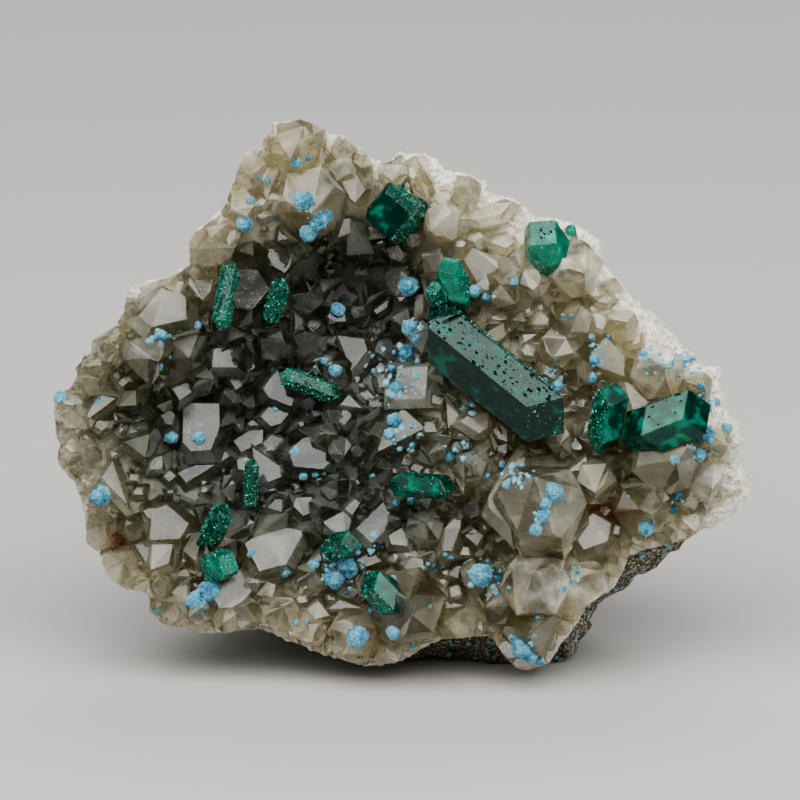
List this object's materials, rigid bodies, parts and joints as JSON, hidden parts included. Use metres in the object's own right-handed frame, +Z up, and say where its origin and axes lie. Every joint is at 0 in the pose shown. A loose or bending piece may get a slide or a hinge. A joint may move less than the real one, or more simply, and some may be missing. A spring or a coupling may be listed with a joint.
{
  "type": "dioptase mineral specimen",
  "caption": "Emerald green dioptase prisms and sky blue shattuckite balls on a concave druse of smoky quartz crystals, standing on its flat-cut rock matrix",
  "frame": {"origin": "middle of the flat cut base of the rock, which the specimen stands on", "axes": "+Z up; the crystal face looks along -Y and leans back 15 degrees; +X runs along the long side, to the right as the crystal face is seen"},
  "size_m": [0.0981, 0.0549, 0.0774],
  "materials": {
    "rock": "rough, speckled grey and brown grains with white and blue flecks",
    "quartz": "vitreous, smoky to colourless, milky at the root, with a white sugary broken edge",
    "dioptase": "vitreous deep emerald green, some faces frosted by a fine druse",
    "shattuckite": "dull sky blue fibrous balls"
  },
  "bodies": {
    "root": {"rock_matrix": "rock", "quartz_druse": "quartz", "dioptase_main_prism": "dioptase", "dioptase_right_prism": "dioptase", "dioptase_right_upright": "dioptase", "dioptase_top_block": "dioptase", "dioptase_upper_prism": "dioptase", "dioptase_perched_cluster": "dioptase", "dioptase_bright_rhomb": "dioptase", "dioptase_left_needle": "dioptase", "dioptase_left_slip": "dioptase", "dioptase_hollow_needle": "dioptase", "dioptase_hollow_sprig": "dioptase", "dioptase_frosted_sprig": "dioptase", "dioptase_frosted_block": "dioptase", "dioptase_centre_bar": "dioptase", "dioptase_lower_prism": "dioptase", "dioptase_blue_coated": "dioptase", "dioptase_rim_chip": "dioptase", "shattuckite_top_rosette": "shattuckite", "shattuckite_top_pair": "shattuckite", "shattuckite_hollow_ball": "shattuckite", "shattuckite_spine": "shattuckite", "shattuckite_rim_left": "shattuckite", "shattuckite_big_cluster": "shattuckite", "shattuckite_sheet_left": "shattuckite", "shattuckite_bottom": "shattuckite", "shattuckite_centre": "shattuckite", "shattuckite_point": "shattuckite", "shattuckite_foot_patch": "shattuckite"}
  },
  "joints": []
}
